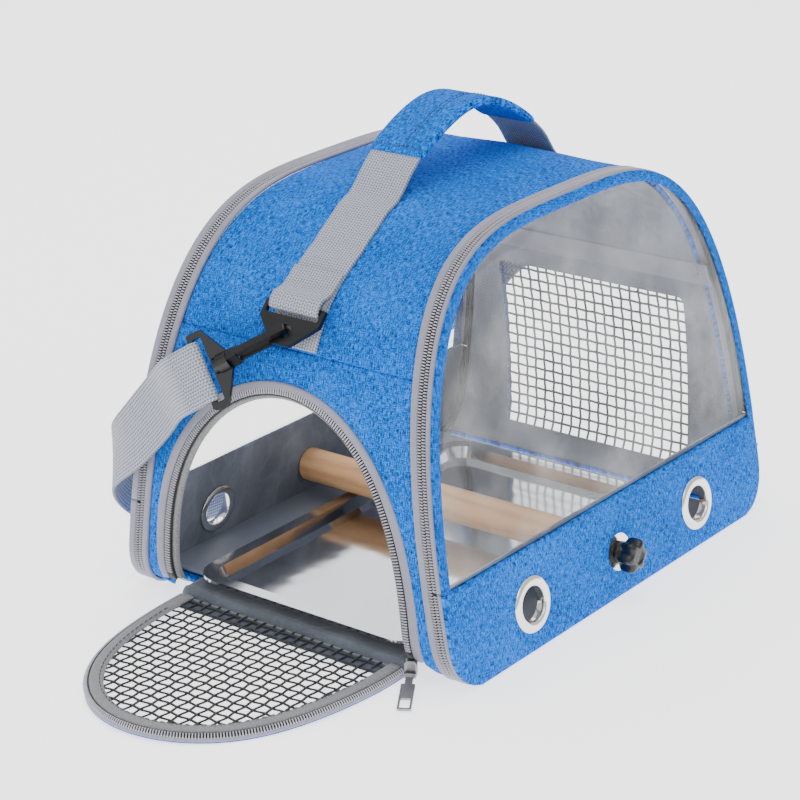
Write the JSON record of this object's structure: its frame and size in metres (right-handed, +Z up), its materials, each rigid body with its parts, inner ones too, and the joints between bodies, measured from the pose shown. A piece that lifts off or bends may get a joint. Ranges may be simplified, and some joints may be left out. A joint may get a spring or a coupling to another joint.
{
  "type": "bird travel carrier",
  "caption": "Soft-sided arched bird carrier with clear windows, mesh end door lying open, steel tray, perch with clamping knobs, carrying handle and shoulder strap.",
  "frame": {"origin": "centre of the flat base's underside", "axes": "+X from the door end to the far end, +Y from the front window to the back window, +Z up"},
  "size_m": [0.5074, 0.3078, 0.3068],
  "materials": {
    "fabric_blue": "heathered woven polyester",
    "lining_slate": "smooth coated cloth",
    "zip_tape": "woven webbing and zip tape",
    "felt_grey": "felt binding",
    "sill_tape": "coated tape",
    "mesh_cord": "open mesh",
    "clear_sheet": "clear flexible sheet",
    "nickel": "polished",
    "gunmetal": "satin",
    "steel": "bright rolled",
    "black_plastic": "satin",
    "perch_wood": "smooth turned"
  },
  "bodies": {
    "carrier": {"base_panel": "fabric_blue", "door_end_panel": "fabric_blue", "far_end_panel": "fabric_blue", "top_panel": "fabric_blue", "lining": "lining_slate", "vent_mesh": "mesh_cord", "front_band": "fabric_blue", "front_band_lining": "lining_slate", "front_band_zip": "zip_tape", "front_body_zip": "zip_tape", "front_piping": "zip_tape", "front_eyelets": "nickel", "front_perch_washer": "nickel", "front_zip_slider": "gunmetal", "back_band": "fabric_blue", "back_band_lining": "lining_slate", "back_band_zip": "zip_tape", "back_body_zip": "zip_tape", "back_piping": "zip_tape", "back_eyelets": "nickel", "back_perch_washer": "nickel", "back_zip_slider": "gunmetal", "perch": "perch_wood", "doorway_zip": "zip_tape", "doorway_binding": "felt_grey", "door_threshold": "sill_tape", "base_board": "lining_slate", "handle_webbing": "zip_tape", "handle_sleeve": "fabric_blue", "shoulder_strap": "zip_tape", "strap_adjuster": "black_plastic", "door_slider": "gunmetal", "near_loop_keeper": "zip_tape", "far_loop_keeper": "zip_tape"},
    "front_window": {"front_window_border": "fabric_blue", "front_clear_window": "clear_sheet", "front_window_zip": "zip_tape"},
    "back_window": {"back_window_border": "fabric_blue", "back_clear_window": "clear_sheet", "back_window_zip": "zip_tape"},
    "end_door": {"door_trim": "fabric_blue", "door_zip": "zip_tape", "door_binding": "felt_grey", "door_hem": "fabric_blue", "door_mesh": "mesh_cord"},
    "litter_tray": {"tray": "steel"},
    "front_knob": {"front_perch_knob": "black_plastic"},
    "back_knob": {"back_perch_knob": "black_plastic"},
    "door_pull_tab": {"door_pull": "gunmetal"},
    "front_pull_tab": {"front_zip_pull": "gunmetal"},
    "back_pull_tab": {"back_zip_pull": "gunmetal"},
    "near_loop_frame": {"near_loop": "black_plastic"},
    "near_snap_hook": {"near_hook": "black_plastic"},
    "near_gate": {"near_hook_gate": "black_plastic"},
    "near_ring": {"near_strap_ring": "black_plastic"},
    "far_loop_frame": {"far_loop": "black_plastic"},
    "far_snap_hook": {"far_hook": "black_plastic"},
    "far_gate": {"far_hook_gate": "black_plastic"},
    "far_ring": {"far_strap_ring": "black_plastic"}
  },
  "joints": [
    {"name": "end_door_hinge", "type": "hinge", "parent": "carrier", "child": "end_door", "pos_m": [-0.165, 0, 0.004], "axis": [0, 1, 0], "range_deg": [0, 90]},
    {"name": "tray_slide", "type": "slide", "parent": "carrier", "child": "litter_tray", "axis": [1, 0, 0], "range_m": [-0.28, 0]},
    {"name": "front_window_fold", "type": "hinge", "parent": "carrier", "child": "front_window", "pos_m": [0, -0.12572, 0.06515], "axis": [1, 0, 0], "range_deg": [0, 110]},
    {"name": "back_window_fold", "type": "hinge", "parent": "carrier", "child": "back_window", "pos_m": [0, 0.12572, 0.06515], "axis": [-1, 0, 0], "range_deg": [0, 110], "deforming": ["shoulder_strap"]},
    {"name": "front_knob_turn", "type": "hinge", "parent": "carrier", "child": "front_knob", "pos_m": [0, -0.13, 0.0295], "axis": [0, -1, 0], "continuous": true},
    {"name": "back_knob_turn", "type": "hinge", "parent": "carrier", "child": "back_knob", "pos_m": [0, 0.13, 0.0295], "axis": [0, 1, 0], "continuous": true},
    {"name": "door_pull_swing", "type": "hinge", "parent": "carrier", "child": "door_pull_tab", "pos_m": [-0.17647, -0.10155, 0.00775], "axis": [-0.515, 0.8572, 0], "range_deg": [0, 80]},
    {"name": "front_pull_swing", "type": "hinge", "parent": "carrier", "child": "front_pull_tab", "pos_m": [0.1808, -0.1207, 0.03925], "axis": [0, -1, 0], "range_deg": [0, 80]},
    {"name": "back_pull_swing", "type": "hinge", "parent": "carrier", "child": "back_pull_tab", "pos_m": [0.1808, 0.1207, 0.03925], "axis": [0, -1, 0], "range_deg": [0, 80]},
    {"name": "near_loop_swing", "type": "hinge", "parent": "carrier", "child": "near_loop_frame", "pos_m": [-0.14715, 0, 0.21014], "axis": [0, 1, 0], "range_deg": [0, 40], "deforming": ["shoulder_strap"]},
    {"name": "near_hook_swing", "type": "hinge", "parent": "near_loop_frame", "child": "near_snap_hook", "pos_m": [-0.15794, 0, 0.19833], "axis": [0.7382, 0, -0.6745], "range_deg": [0, 15], "deforming": ["shoulder_strap"]},
    {"name": "near_gate_pivot", "type": "hinge", "parent": "near_snap_hook", "child": "near_gate", "pos_m": [-0.17074, 0.02701, 0.17987], "axis": [-0.5205, -0.6361, -0.5696], "range_deg": [0, 9], "stiffness_Nm_per_rad": 0.002},
    {"name": "near_ring_swivel", "type": "hinge", "parent": "near_snap_hook", "child": "near_ring", "pos_m": [-0.15794, 0, 0.19833], "axis": [-0.4291, 0.7716, -0.4696], "range_deg": [-15, 15], "deforming": ["shoulder_strap"]},
    {"name": "far_loop_swing", "type": "hinge", "parent": "carrier", "child": "far_loop_frame", "pos_m": [0.14715, 0, 0.21014], "axis": [0, -1, 0], "range_deg": [0, 40], "deforming": ["shoulder_strap"]},
    {"name": "far_hook_swing", "type": "hinge", "parent": "far_loop_frame", "child": "far_snap_hook", "pos_m": [0.15794, 0, 0.19833], "axis": [0.7382, 0, 0.6745], "range_deg": [0, 15], "deforming": ["shoulder_strap"]},
    {"name": "far_gate_pivot", "type": "hinge", "parent": "far_snap_hook", "child": "far_gate", "pos_m": [0.17074, 0.02701, 0.17987], "axis": [-0.5205, 0.6361, 0.5696], "range_deg": [0, 9], "stiffness_Nm_per_rad": 0.002},
    {"name": "far_ring_swivel", "type": "hinge", "parent": "far_snap_hook", "child": "far_ring", "pos_m": [0.15794, 0, 0.19833], "axis": [-0.4291, -0.7716, 0.4696], "range_deg": [-15, 15], "deforming": ["shoulder_strap"]}
  ]
}
